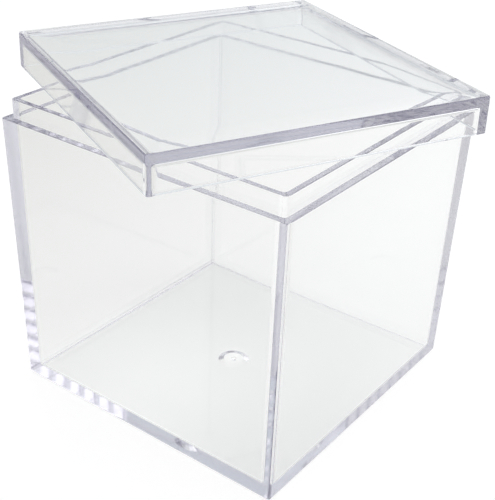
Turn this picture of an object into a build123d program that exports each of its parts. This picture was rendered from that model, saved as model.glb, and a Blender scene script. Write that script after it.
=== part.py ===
from build123d import *
import math
import os

# Clear square box with a lift-off lid, both moulded in one piece each.
# Lengths are in millimetres and angles in degrees. The origin is the centre of the
# box's underside, +Z points up, and the photographed front corner is at +X, -Y.

# Box, outside
box_side = 100.0
shoulder_height = 88.5
box_draft = 1.0
box_corner_radius = 1.0
base_edge_radius = 1.2
shoulder_edge_radius = 0.25

# Neck that stands on the shoulder and locates the closed lid
neck_height = 5.7
neck_wall = 1.8
neck_corner_radius = 1.2
rim_edge_radius = 0.25

# Box, inside
floor_thickness = 3.2
cavity_draft = 0.6
cavity_corner_radius = 1.1
floor_fillet_radius = 1.3

# Gate mark under the floor: a dished recess with the short stub that the sprue left
gate_diameter = 10.0
gate_depth = 1.0
gate_wall_slope = 60.0
gate_stub_diameter = 1.6
gate_stub_height = 0.5

# Lid, whose plate is thinner inside a border that runs along the skirt
lid_height = 10.8
lid_plate = 3.2
lid_border_rise = 0.3
lid_border_width = 9.0
lid_skirt_wall = 2.0
lid_clearance = 0.2
lid_draft = 0.5
lid_inner_fillet_radius = 0.8
lid_top_edge_radius = 0.6
lid_mouth_edge_radius = 0.2

# How the lid lies in the photograph: turned and set askew on the neck's rim
lid_turn = -25.4
lid_shift_x = -0.3
lid_shift_y = -3.2

# How far every cutting shape runs past the face that it opens
overrun = 1.0

# An edge that climbs less than this is level
level_tolerance = 0.01

# Worked out from the sizes above
shoulder_width = lid_skirt_wall + lid_clearance
neck_side = box_side - 2 * shoulder_width
rim_height = shoulder_height + neck_height
cavity_mouth_side = neck_side - 2 * neck_wall
lid_mouth_side = box_side - 2 * lid_skirt_wall
lid_inner_corner_radius = neck_corner_radius + lid_clearance
lid_border_height = lid_height - lid_plate - lid_border_rise


def drafted_side(side, rise, draft):
    """Side of a square section, rise above the place where it is side, drawn in by the draft."""
    return side - 2 * rise * math.tan(math.radians(draft))


def drafted_block(low_z, low_side, rise, draft):
    """Upright square block that narrows upwards by the draft, or widens where it is negative."""
    return extrude(Pos(0, 0, low_z) * Rectangle(low_side, low_side), rise, taper=draft)


def lowest_edges(shape):
    return shape.edges().group_by(Axis.Z)[0]


def highest_edges(shape):
    return shape.edges().group_by(Axis.Z)[-1]


def rising_edges(shape):
    """Edges that climb: the upright corners, and the mitres that an end rounding leaves."""
    return [edge for edge in shape.edges() if edge.bounding_box().size.Z > level_tolerance]


def rounded(shape, *roundings):
    """Round each picked set of edges, the largest radius first so that smaller ones run over it."""
    for radius, picked_edges in sorted(roundings, key=lambda rounding: -rounding[0]):
        shape = fillet(picked_edges(shape), radius)
    return shape


def box_outside():
    """Drafted outer walls up to the shoulder, and the upright neck that stands on it."""
    base_side = drafted_side(box_side, shoulder_height, box_draft)
    walls = rounded(
        drafted_block(0, base_side, shoulder_height, -box_draft),
        (box_corner_radius, rising_edges),
        (base_edge_radius, lowest_edges),
        (shoulder_edge_radius, highest_edges),
    )
    neck = rounded(
        drafted_block(shoulder_height, neck_side, neck_height, 0),
        (neck_corner_radius, rising_edges),
        (rim_edge_radius, highest_edges),
    )
    return walls + neck


def box_cavity():
    """Space inside the box, wider at the mouth so that the core draws out."""
    depth = rim_height - floor_thickness
    low_side = drafted_side(cavity_mouth_side, depth, cavity_draft)
    return rounded(
        drafted_block(floor_thickness, low_side, depth + overrun, -cavity_draft),
        (cavity_corner_radius, rising_edges),
        (floor_fillet_radius, lowest_edges),
    )


def gate_recess():
    """Round recess in the underside, revolved: sloped wall, flat roof, and room for the stub."""
    mouth = gate_diameter / 2
    roof = mouth - gate_depth * math.tan(math.radians(gate_wall_slope))
    stub = gate_stub_diameter / 2
    stub_foot = gate_depth - gate_stub_height
    with BuildPart() as recess:
        with BuildSketch(Plane.XZ):
            with BuildLine():
                Polyline(
                    (0, -overrun),
                    (mouth, -overrun),
                    (mouth, 0),
                    (roof, gate_depth),
                    (stub, gate_depth),
                    (stub, stub_foot),
                    (0, stub_foot),
                    close=True,
                )
            make_face()
        revolve(axis=Axis.Z)
    return recess.part


def box_body():
    return box_outside() - box_cavity() - gate_recess()


def lid_space():
    """Space inside the lid, up to the border of the plate."""
    low_side = drafted_side(lid_mouth_side, -overrun, lid_draft)
    return rounded(
        drafted_block(-overrun, low_side, overrun + lid_border_height, lid_draft),
        (lid_inner_corner_radius, rising_edges),
        (lid_inner_fillet_radius, highest_edges),
    )


def plate_coffer():
    """Shallow rise of the ceiling inside that border, with slow slopes and a flat middle."""
    border_side = drafted_side(lid_mouth_side, lid_border_height, lid_draft)
    run = lid_border_width - lid_inner_corner_radius
    slope = math.degrees(math.atan2(run, lid_border_rise))
    return drafted_block(
        lid_border_height, border_side - 2 * lid_inner_corner_radius, lid_border_rise, slope
    )


def lid_shape():
    """Lid as it is moulded, with its mouth at Z = 0 and its plate on top."""
    outside = rounded(
        drafted_block(0, box_side, lid_height, lid_draft),
        (box_corner_radius, rising_edges),
        (lid_top_edge_radius, highest_edges),
        (lid_mouth_edge_radius, lowest_edges),
    )
    return outside - lid_space() - plate_coffer()


def lid():
    """The lid where the photograph shows it, its mouth resting on the neck's rim."""
    place = Pos(lid_shift_x, lid_shift_y, rim_height) * Rot(0, 0, lid_turn)
    return place * lid_shape()


def write_part(name, shape):
    shape.label = name
    export_step(shape, f"parts/{name}.step")


os.makedirs("parts", exist_ok=True)
write_part("box_body", box_body())
write_part("lid", lid())
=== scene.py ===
import math

import bpy
import numpy as np
from bpy.props import FloatProperty, FloatVectorProperty, IntProperty, PointerProperty
from mathutils import Matrix, Vector


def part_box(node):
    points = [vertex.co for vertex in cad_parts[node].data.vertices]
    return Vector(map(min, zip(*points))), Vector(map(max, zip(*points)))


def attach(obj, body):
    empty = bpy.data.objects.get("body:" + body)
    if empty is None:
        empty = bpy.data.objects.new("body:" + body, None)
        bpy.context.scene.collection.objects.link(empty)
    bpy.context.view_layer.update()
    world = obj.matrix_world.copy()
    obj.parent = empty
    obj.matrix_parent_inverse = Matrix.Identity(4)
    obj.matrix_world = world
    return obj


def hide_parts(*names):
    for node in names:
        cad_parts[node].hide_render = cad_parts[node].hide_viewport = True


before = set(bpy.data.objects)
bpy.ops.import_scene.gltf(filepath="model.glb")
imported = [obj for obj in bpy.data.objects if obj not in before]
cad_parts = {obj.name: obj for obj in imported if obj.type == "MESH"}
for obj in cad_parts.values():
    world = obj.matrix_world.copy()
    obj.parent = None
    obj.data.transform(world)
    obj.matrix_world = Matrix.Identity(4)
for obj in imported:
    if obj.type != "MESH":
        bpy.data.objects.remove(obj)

bl_info = {
    "name": "Clear box with lift-off lid",
    "version": (1, 0, 0),
    "blender": (4, 5, 0),
    "location": "View3D > Sidebar > Clear Box",
    "description": "Moulds a clear box and its lid, and sets them on a pale stage",
    "category": "Object",
}

MM = 0.001

# What the frame says: the corners of each node's box
BOX_LOW, BOX_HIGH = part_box("box_body")
LID_LOW, LID_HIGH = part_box("lid")
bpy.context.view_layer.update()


def size(label, use, metres):
    """A length in metres that the sidebar shows."""
    return FloatProperty(
        name=label, description=use, default=metres, min=0.0, precision=5, unit="LENGTH"
    )


def angle(label, use, degrees):
    """An angle that is given in degrees here and kept in radians."""
    return FloatProperty(
        name=label, description=use, default=math.radians(degrees), unit="ROTATION"
    )


def share(label, use, value):
    """A plain number, such as a strength or a share."""
    return FloatProperty(name=label, description=use, default=value, min=0.0, precision=4)


def colour(label, use, value):
    """A linear colour."""
    return FloatVectorProperty(
        name=label, description=use, default=value, size=3, min=0.0, max=1.0, subtype="COLOR"
    )


class BoxSizes(bpy.types.PropertyGroup):
    """Sizes of the box, as the frame holds it."""

    side: size("Side", "Outer width at the shoulder", BOX_HIGH.x - BOX_LOW.x)
    rim_height: size("Rim height", "Height of the neck's rim over the underside", BOX_HIGH.z)
    neck_height: size("Neck height", "How far the neck stands over the shoulder", 5.7 * MM)
    draft: angle("Draft", "Lean of the outer walls", 1.0)
    corner_radius: size("Corner radius", "Outer upright corners", 1.0 * MM)
    base_edge_radius: size("Base edge radius", "Edge round the underside", 1.2 * MM)
    shoulder_edge_radius: size("Shoulder edge radius", "Outer edge of the shoulder", 0.25 * MM)
    shoulder_width: size("Shoulder width", "Step from the outer wall in to the neck", 2.2 * MM)
    neck_corner_radius: size("Neck corner radius", "Upright corners of the neck", 1.2 * MM)
    rim_edge_radius: size("Rim edge radius", "Both edges of the neck's rim", 0.25 * MM)
    neck_wall: size("Neck wall", "Thickness of the neck at its rim", 1.8 * MM)
    floor_thickness: size("Floor thickness", "Thickness of the floor plate", 3.2 * MM)
    cavity_draft: angle("Cavity draft", "Lean of the inner walls", 0.6)
    cavity_corner_radius: size("Cavity corner radius", "Inner upright corners", 1.1 * MM)
    floor_fillet_radius: size("Floor fillet radius", "Where the walls meet the floor", 1.3 * MM)
    gate_diameter: size("Gate diameter", "Recess where the plastic flowed in", 10.0 * MM)
    gate_depth: size("Gate depth", "Depth of that recess", 1.0 * MM)
    gate_wall_slope: angle("Gate wall slope", "Lean of the recess's wall", 60.0)
    gate_stub_diameter: size("Gate stub diameter", "Stub that the sprue left", 1.6 * MM)
    gate_stub_height: size("Gate stub height", "Height of that stub", 0.5 * MM)


class LidSizes(bpy.types.PropertyGroup):
    """Sizes of the lid, and how it lies on the rim."""

    side: size("Side", "Outer width at the mouth", BOX_HIGH.x - BOX_LOW.x)
    height: size("Height", "From the mouth to the top", LID_HIGH.z - LID_LOW.z)
    plate: size("Plate", "Thickness of the top plate at its middle", 3.2 * MM)
    border_rise: size("Border rise", "How much thicker the plate is at the skirt", 0.3 * MM)
    border_width: size("Border width", "Width over which it gets thicker", 9.0 * MM)
    skirt_wall: size("Skirt wall", "Thickness of the skirt at its mouth", 2.0 * MM)
    draft: angle("Draft", "Lean of the skirt", 0.5)
    corner_radius: size("Corner radius", "Outer upright corners", 1.0 * MM)
    inner_corner_radius: size("Inner corner radius", "Inner upright corners", 1.4 * MM)
    inner_fillet_radius: size("Inner fillet radius", "Where the skirt meets the plate", 0.8 * MM)
    top_edge_radius: size("Top edge radius", "Edge round the plate", 0.6 * MM)
    mouth_edge_radius: size("Mouth edge radius", "Both edges of the skirt's mouth", 0.2 * MM)
    turn: angle("Turn", "How far the lid is turned on the rim", -25.4)
    contact_gap: size("Contact gap", "Air between the mouth and the rim under it", 0.04 * MM)


class PlasticLook(bpy.types.PropertyGroup):
    """Finish of the clear moulded plastic."""

    tint: colour("Tint", "Colour that a long way through the plastic takes on", (0.70, 0.69, 0.77))
    box_density: share("Box density", "How soon that tint shows in the box, per metre", 10.0)
    lid_density: share("Lid density", "How soon that tint shows in the lid, per metre", 15.0)
    index: share("Refractive index", "How strongly the plastic bends light", 1.49)
    haze: share("Haze", "Roughness of the polished faces, at its least", 0.03)
    haze_swing: share("Haze swing", "How much rougher the dullest patches are", 0.015)
    patch_length: size("Patch length", "Width of those patches", 9.0 * MM)
    wave_length: size("Wave length", "Width of the slow waves in a face", 20.0 * MM)
    wave_height: size("Wave height", "Height of those waves over the middle of a face", 0.02 * MM)
    edge_height: size("Edge wave height", "How much higher they are along an edge", 0.025 * MM)
    edge_reach: size("Edge reach", "How far from an edge those higher waves go", 12.0 * MM)
    ripple_length: size("Ripple length", "Width of the fine ripples close to an edge", 3.5 * MM)
    ripple_reach: size("Ripple reach", "How far from an edge the ripples go", 4.0 * MM)
    box_ripple: size("Box ripple", "Height of the ripples in the box", 0.001 * MM)
    lid_ripple: size("Lid ripple", "Height of the ripples in the lid", 0.02 * MM)


class StageLook(bpy.types.PropertyGroup):
    """Floor, light and camera."""

    floor_side: size("Floor side", "Width of the pale floor", 8.0)
    floor_gap: size("Floor gap", "Air between the floor and the underside", 0.3 * MM)
    near_shade: colour("Near shade", "The floor as the box shows it", (0.97, 0.98, 0.965))
    # Painted shade: the floor's glow, as mirror and clear surfaces see it, fades to this darker
    # colour one way across the floor, as if less light fell there; the settings below give that
    # way and its span
    painted_far_shade: colour("Far shade", "The floor past the fade's end", (0.64, 0.65, 0.61))
    painted_shade_turn: angle("Fade turn", "Way in which the floor gets darker, turned from +X", 194.7)
    painted_shade_start: FloatProperty(
        name="Fade start",
        description="How far that way from the origin the fade begins",
        default=-0.02,
        unit="LENGTH",
    )
    painted_shade_end: FloatProperty(
        name="Fade end",
        description="How far that way from the origin the fade ends",
        default=0.25,
        unit="LENGTH",
    )
    camera_place: FloatVectorProperty(
        name="Camera place",
        description="Where the camera stands",
        default=(0.167045, -0.227224, 0.19967),
        size=3,
        unit="LENGTH",
    )
    azimuth: angle("Azimuth", "Direction that the camera looks, turned from +Y", 35.929)
    elevation: angle("Elevation", "How far the camera looks down", 29.144)
    roll: angle("Roll", "Tilt of the camera about its own axis", 2.33)
    lens: share("Lens", "Focal length in millimetres on a 36 mm frame", 73.533)


class ClearBoxSettings(bpy.types.PropertyGroup):
    """All that the sidebar shows."""

    box: PointerProperty(type=BoxSizes, name="Box", description="Sizes of the box")
    lid: PointerProperty(type=LidSizes, name="Lid", description="Sizes of the lid")
    plastic: PointerProperty(type=PlasticLook, name="Plastic", description="Finish of the plastic")
    stage: PointerProperty(type=StageLook, name="Stage", description="Floor, light and camera")
    side_steps: IntProperty(
        name="Side steps", description="Faces along each straight side", default=24, min=1
    )
    corner_steps: IntProperty(
        name="Corner steps", description="Faces round each upright corner", default=12, min=2
    )
    edge_steps: IntProperty(
        name="Edge steps", description="Faces across each rounded edge", default=6, min=1
    )
    longest_step: size("Longest step", "Longest face up a wall or across a floor", 4.0 * MM)


# Shape

# Rings that carry the sweep of the plate's underside
BORDER_STEPS = 12

# Rounding of the edges that have no radius of their own
CRISP_RADIUS = 0.08 * MM

# The least that the radius of an upright corner may shrink to
LEAST_CORNER_RADIUS = 0.02 * MM

# A shorter length than this, in metres, counts as nothing
LENGTH_TOLERANCE = 1e-7

# The profile turns where its unit direction changes by more than this from point to point
LEAST_TURN = 0.02

# A face whose direction along the profile rises by more than this sine is a wall
WALL_SINE = 0.7


def unit(vectors):
    """Each vector divided by its own length."""
    return vectors / np.linalg.norm(vectors, axis=-1, keepdims=True)


def square_turn(side_steps, corner_steps):
    """One turn round a square, as two arrays of plan vectors, one row for each point.

    seat is where the point's corner centre lies on a square from -1 to 1, and out is the
    way that the surface faces there. At an upright corner seat stays and out swings by a
    quarter turn: out = (cos a, sin a). Along a side out stays and seat slides to the next
    corner. A point of a ring is then seat * (half - radius) + out * radius.
    """
    swing = np.linspace(0.0, np.pi / 2, corner_steps + 1)
    slide = np.linspace(0.0, 1.0, side_steps + 1)[1:-1]
    seat = np.concatenate(
        [np.ones((len(swing), 2)), np.stack([1.0 - 2.0 * slide, np.ones_like(slide)], 1)]
    )
    out = np.concatenate(
        [np.stack([np.cos(swing), np.sin(swing)], 1), np.tile([0.0, 1.0], (len(slide), 1))]
    )
    quarter = np.arange(4) * np.pi / 2
    turn = np.array([[np.cos(quarter), -np.sin(quarter)], [np.sin(quarter), np.cos(quarter)]])
    return tuple(np.einsum("ijk,nj->kni", turn, rows).reshape(-1, 2) for rows in (seat, out))


def rounded_profile(rows, edge_steps):
    """A profile with every corner rounded, and its direction at each point.

    Each row holds half width, height, upright corner radius and edge radius. At an inner
    row with edge radius e, where the line turns by b, an arc starts e * tan(b / 2) before
    the corner. At angle t along it the place is start + e * sin t * before
    + e * (1 - cos t) * aside, and the direction is cos t * before + sin t * aside. The
    upright corner radius grows and shrinks with the half width, as on a rolled edge.
    """
    rows = np.asarray(rows, float)
    corner = rows[1:-1, :2]
    before = unit(corner - rows[:-2, :2])
    after = unit(rows[2:, :2] - corner)
    aside = np.stack([-before[:, 1], before[:, 0]], 1)
    cross = (aside * after).sum(1)
    aside *= np.sign(cross)[:, None]
    bend = np.arctan2(np.abs(cross), (before * after).sum(1))
    edge = rows[1:-1, 3]
    start = corner - before * (edge * np.tan(bend / 2))[:, None]
    t = bend[:, None] * np.linspace(0.0, 1.0, edge_steps + 1)
    sine, cosine = np.sin(t)[..., None], np.cos(t)[..., None]
    reach = edge[:, None, None]
    place = start[:, None] + reach * (sine * before[:, None] + (1 - cosine) * aside[:, None])
    way = cosine * before[:, None] + sine * aside[:, None]
    radius = rows[1:-1, 2, None] + place[..., 0] - corner[:, :1]
    radius = np.maximum(radius.reshape(-1), LEAST_CORNER_RADIUS)
    return place.reshape(-1, 2), way.reshape(-1, 2), radius


def divided(profile, longest):
    """The profile with its long straight stretches cut into steps of at most longest."""
    place = profile[0]
    steps = np.ceil(np.linalg.norm(np.diff(place, axis=0), axis=1) / longest).astype(int)
    stations = np.concatenate(
        [i + np.arange(count) / count for i, count in enumerate(np.maximum(steps, 1))]
        + [[len(steps)]]
    )
    index = np.arange(len(place))

    def spread(column):
        return np.interp(stations, index, column)

    place, way = (np.stack([spread(row) for row in pair.T], 1) for pair in profile[:2])
    return place, way, spread(profile[2])


def distances(profile):
    """At each point of the profile, the way along it from its start and to its nearest turn.

    A turn is a point at which the direction differs from that of the point before.
    """
    place, way = profile[:2]
    flow = np.concatenate([[0.0], np.cumsum(np.linalg.norm(np.diff(place, axis=0), axis=1))])
    turns = flow[1:][np.linalg.norm(np.diff(way, axis=0), axis=1) > LEAST_TURN]
    return flow, np.abs(flow[:, None] - turns).min(1)


def mark_edges(mesh, profile, seat):
    """Writes two values to each point: flow, the way along the profile, and gap.

    gap is how far the nearest edge is: a turn of the profile or, on a wall, an upright
    corner, which is (1 - |seat|) * core away along its side. Both poles lie past their
    ring by its half width.
    """
    place, way, radius = profile
    flow, gap = distances(profile)
    wall = np.abs(way[:, 1, None]) > WALL_SINE
    core = (place[:, 0] - radius)[:, None]
    gap = np.minimum(gap[:, None], np.where(wall, (1.0 - np.abs(seat).min(1)) * core, np.inf))
    flow = np.tile(flow[:, None], len(seat))
    first_reach, last_reach = place[0, 0], place[-1, 0]
    pole_flow = (flow[0, 0] - first_reach, flow[-1, 0] + last_reach)
    pole_gap = (gap[0, 0] + first_reach, gap[-1, 0] + last_reach)
    for label, rings, poles in (("flow", flow, pole_flow), ("gap", gap, pole_gap)):
        values = np.append(rings, poles)
        mesh.attributes.new(label, "FLOAT", "POINT").data.foreach_set("value", values)


def moulded_mesh(name, profile, start_height, end_height, settings):
    """A closed shell: a profile carried round a square, with a pole at each end.

    Point i of ring j is seat_i * (half_j - radius_j) + out_i * radius_j in plan, at
    height_j. Where a ring is a circle, its points lie on the same spokes as those of the
    square rings. The surface faces (out * dz, -dh), where (dh, dz) is the profile's
    direction, so every rounded edge runs into its flat faces without a crease.
    """
    seat, out = square_turn(settings.side_steps, settings.corner_steps)
    profile = divided(profile, settings.longest_step)
    place, way, radius = profile
    core = place[:, 0] - radius
    circle = core < LENGTH_TOLERANCE
    widest = np.argmax(place[:, 0])
    spoke = unit(seat * core[widest] + out * radius[widest])
    facing = np.where(circle[:, None, None], spoke, out)
    plan = seat * np.where(circle, 0.0, core)[:, None, None] + facing * radius[:, None, None]
    height = np.broadcast_to(place[:, 1, None, None], plan.shape[:2] + (1,))
    points = np.concatenate([plan, height], 2)
    normals = np.concatenate(
        [facing * way[:, 1, None, None], np.broadcast_to(-way[:, 0, None, None], height.shape)], 2
    )
    rings, around = points.shape[:2]
    poles = np.array([[0.0, 0.0, start_height], [0.0, 0.0, end_height]])
    points = np.concatenate([points.reshape(-1, 3), poles])
    normals = np.concatenate([normals.reshape(-1, 3), [[0.0, 0.0, -1.0], [0.0, 0.0, 1.0]]])

    here = np.arange(around)
    after = (here + 1) % around
    base = (np.arange(rings - 1) * around)[:, None]
    quads = np.stack([base + here, base + after, base + around + after, base + around + here], 2)
    first, last = rings * around, rings * around + 1
    end = (rings - 1) * around
    start_fan = np.stack([np.full(around, first), after, here], 1)
    end_fan = np.stack([np.full(around, last), end + here, end + after], 1)

    mesh = bpy.data.meshes.new(name)
    mesh.from_pydata(
        points.tolist(), [], quads.reshape(-1, 4).tolist() + start_fan.tolist() + end_fan.tolist()
    )
    mesh.shade_smooth()
    mesh.normals_split_custom_set_from_vertices(unit(normals).tolist())
    mark_edges(mesh, profile, seat)
    mesh.validate()
    return mesh


def leaned(half, rise, draft):
    """Half width of a wall that is half wide at the foot of rise and leans in by the draft."""
    return half - rise * math.tan(draft)


def box_rows(box):
    """Profile of the box, from the gate stub out under the floor, up the wall and back in."""
    half = box.side / 2
    shoulder_height = box.rim_height - box.neck_height
    base_half = leaned(half, shoulder_height, box.draft)
    neck_half = half - box.shoulder_width
    mouth_half = neck_half - box.neck_wall
    depth = box.rim_height - box.floor_thickness
    floor_half = leaned(mouth_half, depth, box.cavity_draft)
    gate_mouth = box.gate_diameter / 2
    gate_roof = leaned(gate_mouth, box.gate_depth, box.gate_wall_slope)
    stub = box.gate_stub_diameter / 2
    stub_foot = box.gate_depth - box.gate_stub_height
    return [
        (0.0, stub_foot, 0.0, 0.0),
        (stub, stub_foot, stub, CRISP_RADIUS),
        (stub, box.gate_depth, stub, CRISP_RADIUS),
        (gate_roof, box.gate_depth, gate_roof, CRISP_RADIUS),
        (gate_mouth, 0.0, gate_mouth, CRISP_RADIUS),
        (base_half, 0.0, box.corner_radius, box.base_edge_radius),
        (half, shoulder_height, box.corner_radius, box.shoulder_edge_radius),
        (neck_half, shoulder_height, box.neck_corner_radius, CRISP_RADIUS),
        (neck_half, box.rim_height, box.neck_corner_radius, box.rim_edge_radius),
        (mouth_half, box.rim_height, box.cavity_corner_radius, box.rim_edge_radius),
        (floor_half, box.floor_thickness, box.cavity_corner_radius, box.floor_fillet_radius),
        (0.0, box.floor_thickness, 0.0, 0.0),
    ]


def lid_rows(lid):
    """Profile of the lid, from the plate's border out to the skirt, down, up and back in."""
    half = lid.side / 2
    mouth_half = half - lid.skirt_wall
    ceiling = lid.height - lid.plate
    border = ceiling - lid.border_rise
    border_half = leaned(mouth_half, border, lid.draft)
    return [
        (border_half - lid.border_width / 2, ceiling, 0.0, 0.0),
        (border_half, border, lid.inner_corner_radius, lid.inner_fillet_radius),
        (mouth_half, 0.0, lid.inner_corner_radius, lid.mouth_edge_radius),
        (half, 0.0, lid.corner_radius, lid.mouth_edge_radius),
        (leaned(half, lid.height, lid.draft), lid.height, lid.corner_radius, lid.top_edge_radius),
        (0.0, lid.height, 0.0, 0.0),
    ]


def lid_profile(lid, edge_steps):
    """The lid's rounded profile, led in by the slow sweep of the plate's underside.

    Over its border the underside falls as the square of the way out: at a share t of the
    border's width its height is ceiling - rise * t * t, so its direction is
    (width, -2 * rise * t). It meets the rounded rows on their first straight stretch.
    """
    rows = lid_rows(lid)
    place, way, radius = rounded_profile(rows, edge_steps)
    start = rows[1][0] - lid.border_width
    t = np.linspace(0.0, (place[0, 0] - start) / lid.border_width, BORDER_STEPS + 1)[:-1]
    sweep = np.stack([start + lid.border_width * t, rows[0][1] - lid.border_rise * t * t], 1)
    lead = unit(np.stack([np.full_like(t, lid.border_width), -2 * lid.border_rise * t], 1))
    return (
        np.concatenate([sweep, place]),
        np.concatenate([lead, way]),
        np.concatenate([np.full_like(t, lid.inner_corner_radius), radius]),
    )


# Finish

WHITE = (1.0, 1.0, 1.0, 1.0)

# Middle of a noise's values, and the span that most of its points have
NOISE_MIDDLE = 0.5
NOISE_LOW, NOISE_HIGH = 0.3, 0.7

# Octaves of the noise in the waves of a face, and in the patches of its gloss
WAVE_DETAIL = 1.0
PATCH_DETAIL = 2.0


def mixed(tree, factor, first, second):
    """A mix of two shaders, by a factor that a node gives."""
    mix = tree.nodes.new("ShaderNodeMixShader")
    tree.links.new(factor, mix.inputs[0])
    tree.links.new(first, mix.inputs[1])
    tree.links.new(second, mix.inputs[2])
    return mix.outputs[0]


def blended(tree, factor, first, second):
    """A mix of two colours, of which the second is fixed and the first may be a node's output."""
    mix = tree.nodes.new("ShaderNodeMix")
    mix.data_type = "RGBA"
    mix.inputs["B"].default_value = (*second, 1.0)
    tree.links.new(factor, mix.inputs["Factor"])
    if isinstance(first, bpy.types.NodeSocket):
        tree.links.new(first, mix.inputs["A"])
    else:
        mix.inputs["A"].default_value = (*first, 1.0)
    return mix.outputs["Result"]


def reckoned(tree, operation, first, second):
    """Two numbers joined by a sum or the like; each is a node's output or a plain number."""
    node = tree.nodes.new("ShaderNodeMath")
    node.operation = operation
    for socket, term in zip(node.inputs, (first, second)):
        if isinstance(term, bpy.types.NodeSocket):
            tree.links.new(term, socket)
        else:
            socket.default_value = term
    return node.outputs[0]


def compared(tree, operation, where, vector):
    """The distance from a place to a fixed vector, or their dot product."""
    node = tree.nodes.new("ShaderNodeVectorMath")
    node.operation = operation
    node.inputs[1].default_value = vector
    tree.links.new(where, node.inputs[0])
    return node.outputs["Value"]


def ranged(tree, value, old_range, new_range, kind="SMOOTHSTEP"):
    """A value carried over from its old range to a new one, and held at the ends of both."""
    node = tree.nodes.new("ShaderNodeMapRange")
    node.interpolation_type = kind
    for label, number in zip(("From Min", "From Max", "To Min", "To Max"), old_range + new_range):
        node.inputs[label].default_value = number
    tree.links.new(value, node.inputs["Value"])
    return node.outputs["Result"]


def marked(tree, label):
    """A value that mark_edges wrote to each point."""
    node = tree.nodes.new("ShaderNodeAttribute")
    node.attribute_name = label
    return node.outputs["Fac"]


def lifted(tree, where, length, far_height, near_height, reach):
    """Waves in a face: how far each point is lifted, as the output of a node.

    The waves of a wall's two faces differ, because flow, the way along the profile, is the
    noise's fourth coordinate. They are near_height high on an edge and far_height high from
    reach away from it.
    """
    waves = tree.nodes.new("ShaderNodeTexNoise")
    waves.noise_dimensions = "4D"
    waves.inputs["Scale"].default_value = 1.0 / length
    waves.inputs["Detail"].default_value = WAVE_DETAIL
    tree.links.new(where, waves.inputs["Vector"])
    tree.links.new(marked(tree, "flow"), waves.inputs["W"])
    height = ranged(tree, marked(tree, "gap"), (0.0, reach), (near_height, far_height))
    swing = reckoned(tree, "SUBTRACT", waves.outputs["Fac"], NOISE_MIDDLE)
    return reckoned(tree, "MULTIPLY", swing, height)


def clear_plastic(name, plastic, density, ripple):
    """Clear moulded plastic, whose tint grows with the depth that light crosses.

    Its polished faces have slow waves, finer ripples close to their edges, and patches that
    are a little less glossy.
    """
    material = bpy.data.materials.new(name)
    material.use_nodes = True
    tree = material.node_tree
    shader = tree.nodes["Principled BSDF"]
    shader.inputs["Base Color"].default_value = WHITE
    shader.inputs["IOR"].default_value = plastic.index
    shader.inputs["Transmission Weight"].default_value = 1.0
    tint = tree.nodes.new("ShaderNodeVolumeAbsorption")
    tint.inputs["Color"].default_value = (*plastic.tint, 1.0)
    tint.inputs["Density"].default_value = density
    tree.links.new(tint.outputs["Volume"], tree.nodes["Material Output"].inputs["Volume"])

    where = tree.nodes.new("ShaderNodeTexCoord").outputs["Object"]
    patches = tree.nodes.new("ShaderNodeTexNoise")
    patches.inputs["Scale"].default_value = 1.0 / plastic.patch_length
    patches.inputs["Detail"].default_value = PATCH_DETAIL
    tree.links.new(where, patches.inputs["Vector"])
    haze_range = (plastic.haze, plastic.haze + plastic.haze_swing)
    haze = ranged(tree, patches.outputs["Fac"], (NOISE_LOW, NOISE_HIGH), haze_range, "LINEAR")
    tree.links.new(haze, shader.inputs["Roughness"])

    low, high = plastic.wave_height, plastic.wave_height + plastic.edge_height
    slow = lifted(tree, where, plastic.wave_length, low, high, plastic.edge_reach)
    fine = lifted(tree, where, plastic.ripple_length, 0.0, ripple, plastic.ripple_reach)
    bump = tree.nodes.new("ShaderNodeBump")
    bump.inputs["Strength"].default_value = 1.0
    bump.inputs["Distance"].default_value = 1.0
    tree.links.new(reckoned(tree, "ADD", slow, fine), bump.inputs["Height"])
    tree.links.new(bump.outputs["Normal"], shader.inputs["Normal"])
    return material


def add_piece(name, mesh, material, node, body):
    """Links the mesh as a piece that stands for a node, rides on its body and has its slot."""
    piece = bpy.data.objects.new(name, mesh)
    bpy.context.scene.collection.objects.link(piece)
    mesh.materials.append(material)
    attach(piece, body)
    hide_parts(node)
    return piece


# Stage

# Strength of the floor's own light, as the camera sees it and as mirror and clear surfaces
# do, and the grey that the object's shadow falls on
SEEN_GLOW = 0.84
MIRRORED_GLOW = 0.8
SHADOW_GREY = (0.25, 0.25, 0.25, 1.0)

# Painted pools of light and shade in the floor's glow, where light that comes through the box
# would make the floor lighter or leave it dimmer: x, y and reach in metres, and how much is added
# as a share
PAINTED_POOLS = (
    (-0.018, -0.032, 0.070, 0.13),
    (0.050, -0.040, 0.075, -0.08),
    (-0.0016, 0.0020, 0.0065, 0.15),
)


def floor_glow_and_painted_shade(tree, stage):
    """The floor as mirror and clear surfaces show it, with painted shade: it fades darker one way,
    and has painted pools of light and shade.
    """
    where = tree.nodes.new("ShaderNodeTexCoord").outputs["Object"]
    # Painted shade: the floor's glow darkens from the near colour to the far one along this way
    away = (math.cos(stage.painted_shade_turn), math.sin(stage.painted_shade_turn), 0.0)
    along = compared(tree, "DOT_PRODUCT", where, away)
    fade = ranged(tree, along, (stage.painted_shade_start, stage.painted_shade_end), (0.0, 1.0), "LINEAR")
    strength = MIRRORED_GLOW
    # Painted pools of light and shade: each one brightens or dims the glow round its centre
    for x, y, reach, gain in PAINTED_POOLS:
        gap = compared(tree, "DISTANCE", where, (x, y, 0.0))
        painted_pool = ranged(tree, gap, (0.0, reach), (1.0 + gain, 1.0))
        strength = reckoned(tree, "MULTIPLY", strength, painted_pool)
    light = tree.nodes.new("ShaderNodeEmission")
    tree.links.new(blended(tree, fade, stage.near_shade, stage.painted_far_shade), light.inputs["Color"])
    tree.links.new(strength, light.inputs["Strength"])
    return light.outputs[0]


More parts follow.
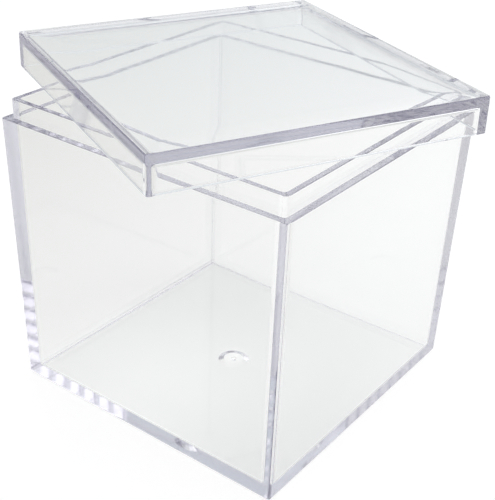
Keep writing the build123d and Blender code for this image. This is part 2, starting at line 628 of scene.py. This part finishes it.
def floor_material(stage):
    """White to the camera, a shade greyer to mirror and clear surfaces, and shadowed."""
    material = bpy.data.materials.new("pale_floor")
    material.use_nodes = True
    tree = material.node_tree
    tree.nodes.remove(tree.nodes["Principled BSDF"])
    seen = tree.nodes.new("ShaderNodeEmission")
    seen.inputs["Color"].default_value = WHITE
    seen.inputs["Strength"].default_value = SEEN_GLOW
    rays = tree.nodes.new("ShaderNodeLightPath")
    shown = mixed(tree, rays.outputs["Is Camera Ray"], floor_glow_and_painted_shade(tree, stage), seen.outputs[0])
    dull = tree.nodes.new("ShaderNodeBsdfDiffuse")
    dull.inputs["Color"].default_value = SHADOW_GREY
    both = tree.nodes.new("ShaderNodeAddShader")
    tree.links.new(shown, both.inputs[0])
    tree.links.new(dull.outputs[0], both.inputs[1])
    tree.links.new(both.outputs[0], tree.nodes["Material Output"].inputs["Surface"])
    return material


def pale_floor(stage):
    """The floor: one square, centred under the box."""
    plan = np.array([[-1, -1, 0], [1, -1, 0], [1, 1, 0], [-1, 1, 0]]) * stage.floor_side / 2
    plan[:, 2] = -stage.floor_gap
    mesh = bpy.data.meshes.new("stage_floor")
    mesh.from_pydata(plan.tolist(), [], [(0, 1, 2, 3)])
    mesh.materials.append(floor_material(stage))
    floor = bpy.data.objects.new("stage_floor", mesh)
    bpy.context.scene.collection.objects.link(floor)


# Light that enters an edge runs down a wall from face to face, about this often at most
GUIDED_BOUNCES = 96

# The room's light at its side and overhead: how steeply up, as the sine, and the light there
ROOM = ((0.1, (0.72, 0.725, 0.745, 1.0)), (0.8, WHITE))

# Soft panels and dim parts of the studio round the object: direction turned from +X, height
# over the horizon, half width and the width of the soft edge, all in degrees, and the light
PANELS = (
    (54.0, 27.0, 15.0, 15.0, (1.6, 1.6, 1.62)),
    (3.0, 20.0, 22.0, 14.0, (0.40, 0.38, 0.50)),
    (183.0, 20.0, 25.0, 15.0, (0.30, 0.29, 0.36)),
    (128.0, 27.0, 17.0, 13.0, (0.78, 0.83, 0.85)),
    (98.0, 41.0, 8.0, 11.0, (1.55, 1.55, 1.57)),
)


def room_light(tree):
    """The room by direction, white overhead and greyer round the sides, with its panels.

    A panel covers each direction whose dot product with its aim is over the cosine of its
    half width.
    """
    where = tree.nodes.new("ShaderNodeTexCoord").outputs["Generated"]
    parts = tree.nodes.new("ShaderNodeSeparateXYZ")
    tree.links.new(where, parts.inputs[0])
    ramp = tree.nodes.new("ShaderNodeValToRGB")
    for stop, (rise, light) in zip(ramp.color_ramp.elements, ROOM):
        stop.position = rise
        stop.color = light
    tree.links.new(parts.outputs["Z"], ramp.inputs["Fac"])
    light = ramp.outputs["Color"]
    for *angles, shade in PANELS:
        turn, rise, reach, soft = (math.radians(value) for value in angles)
        aim = (math.cos(turn) * math.cos(rise), math.sin(turn) * math.cos(rise), math.sin(rise))
        nearness = compared(tree, "DOT_PRODUCT", where, aim)
        edge = ranged(tree, nearness, (math.cos(reach + soft), math.cos(reach)), (0.0, 1.0))
        light = blended(tree, edge, light, shade)
    return light


def studio_world():
    """The soft room, which the camera itself sees as plain white."""
    world = bpy.data.worlds.new("studio")
    bpy.context.scene.world = world
    world.use_nodes = True
    tree = world.node_tree
    room = tree.nodes["Background"]
    tree.links.new(room_light(tree), room.inputs["Color"])
    white = tree.nodes.new("ShaderNodeBackground")
    white.inputs["Color"].default_value = WHITE
    rays = tree.nodes.new("ShaderNodeLightPath")
    shown = mixed(tree, rays.outputs["Is Camera Ray"], room.outputs[0], white.outputs[0])
    tree.links.new(shown, tree.nodes["World Output"].inputs["Surface"])


# Width of the frame that the lens is meant for, in millimetres, and the nearest thing shown
SENSOR_WIDTH = 36.0
CLIP_START = 10 * MM


def photograph_camera(stage):
    """The camera at the photograph's place: turned by azimuth, then elevation, then roll."""
    data = bpy.data.cameras.new("photograph_camera")
    data.lens = stage.lens
    data.sensor_width = SENSOR_WIDTH
    data.clip_start = CLIP_START
    camera = bpy.data.objects.new("photograph_camera", data)
    bpy.context.scene.collection.objects.link(camera)
    camera.matrix_world = (
        Matrix.Translation(Vector(stage.camera_place))
        @ Matrix.Rotation(stage.azimuth, 4, "Z")
        @ Matrix.Rotation(math.pi / 2 - stage.elevation, 4, "X")
        @ Matrix.Rotation(stage.roll, 4, "Z")
    )
    bpy.context.scene.camera = camera


# Operators


class CLEARBOX_OT_mould_box(bpy.types.Operator):
    """Mould the clear box with its stepped neck and gate mark"""

    bl_idname = "clearbox.mould_box"
    bl_label = "Mould the box"

    def execute(self, context):
        settings = context.scene.clear_box
        rows = box_rows(settings.box)
        profile = rounded_profile(rows, settings.edge_steps)
        mesh = moulded_mesh("clear_box", profile, rows[0][1], rows[-1][1], settings)
        look = settings.plastic
        material = clear_plastic("box_plastic", look, look.box_density, look.box_ripple)
        add_piece("clear_box", mesh, material, "box_body", "box")
        return {"FINISHED"}


class CLEARBOX_OT_mould_lid(bpy.types.Operator):
    """Mould the clear lid and lay it askew on the rim"""

    bl_idname = "clearbox.mould_lid"
    bl_label = "Mould the lid"

    def execute(self, context):
        settings = context.scene.clear_box
        lid = settings.lid
        profile = lid_profile(lid, settings.edge_steps)
        mesh = moulded_mesh("clear_lid", profile, lid.height - lid.plate, lid.height, settings)
        middle = (LID_LOW + LID_HIGH) / 2
        place = Matrix.Translation((middle.x, middle.y, LID_LOW.z + lid.contact_gap))
        mesh.transform(place @ Matrix.Rotation(lid.turn, 4, "Z"))
        look = settings.plastic
        material = clear_plastic("lid_plastic", look, look.lid_density, look.lid_ripple)
        add_piece("clear_lid", mesh, material, "lid", "lid")
        return {"FINISHED"}


class CLEARBOX_OT_set_stage(bpy.types.Operator):
    """Set the pale floor, the soft light and the camera"""

    bl_idname = "clearbox.set_stage"
    bl_label = "Set the stage"

    def execute(self, context):
        scene = context.scene
        scene.view_settings.view_transform = "Standard"
        scene.cycles.max_bounces = GUIDED_BOUNCES
        scene.cycles.glossy_bounces = GUIDED_BOUNCES
        scene.cycles.transmission_bounces = GUIDED_BOUNCES
        pale_floor(scene.clear_box.stage)
        studio_world()
        photograph_camera(scene.clear_box.stage)
        return {"FINISHED"}


class CLEARBOX_PT_sidebar(bpy.types.Panel):
    """Lists the pieces, their sizes and the stage"""

    bl_idname = "CLEARBOX_PT_sidebar"
    bl_label = "Clear Box"
    bl_space_type = "VIEW_3D"
    bl_region_type = "UI"
    bl_category = "Clear Box"

    def draw(self, context):
        settings = context.scene.clear_box
        steps = (
            (CLEARBOX_OT_mould_box, settings.box),
            (CLEARBOX_OT_mould_lid, settings.lid),
            (CLEARBOX_OT_set_stage, settings.stage),
        )
        for step, group in steps:
            column = self.layout.column(align=True)
            column.operator(step.bl_idname)
            for name in group.__annotations__:
                column.prop(group, name)
        for name in settings.plastic.__annotations__:
            self.layout.prop(settings.plastic, name)


CLASSES = (
    BoxSizes,
    LidSizes,
    PlasticLook,
    StageLook,
    ClearBoxSettings,
    CLEARBOX_OT_mould_box,
    CLEARBOX_OT_mould_lid,
    CLEARBOX_OT_set_stage,
    CLEARBOX_PT_sidebar,
)


def register():
    for item in CLASSES:
        bpy.utils.register_class(item)
    bpy.types.Scene.clear_box = PointerProperty(type=ClearBoxSettings)


def unregister():
    del bpy.types.Scene.clear_box
    for item in reversed(CLASSES):
        bpy.utils.unregister_class(item)


def main():
    register()
    bpy.ops.clearbox.mould_box()
    bpy.ops.clearbox.mould_lid()
    bpy.ops.clearbox.set_stage()


if __name__ == "__main__":
    main()
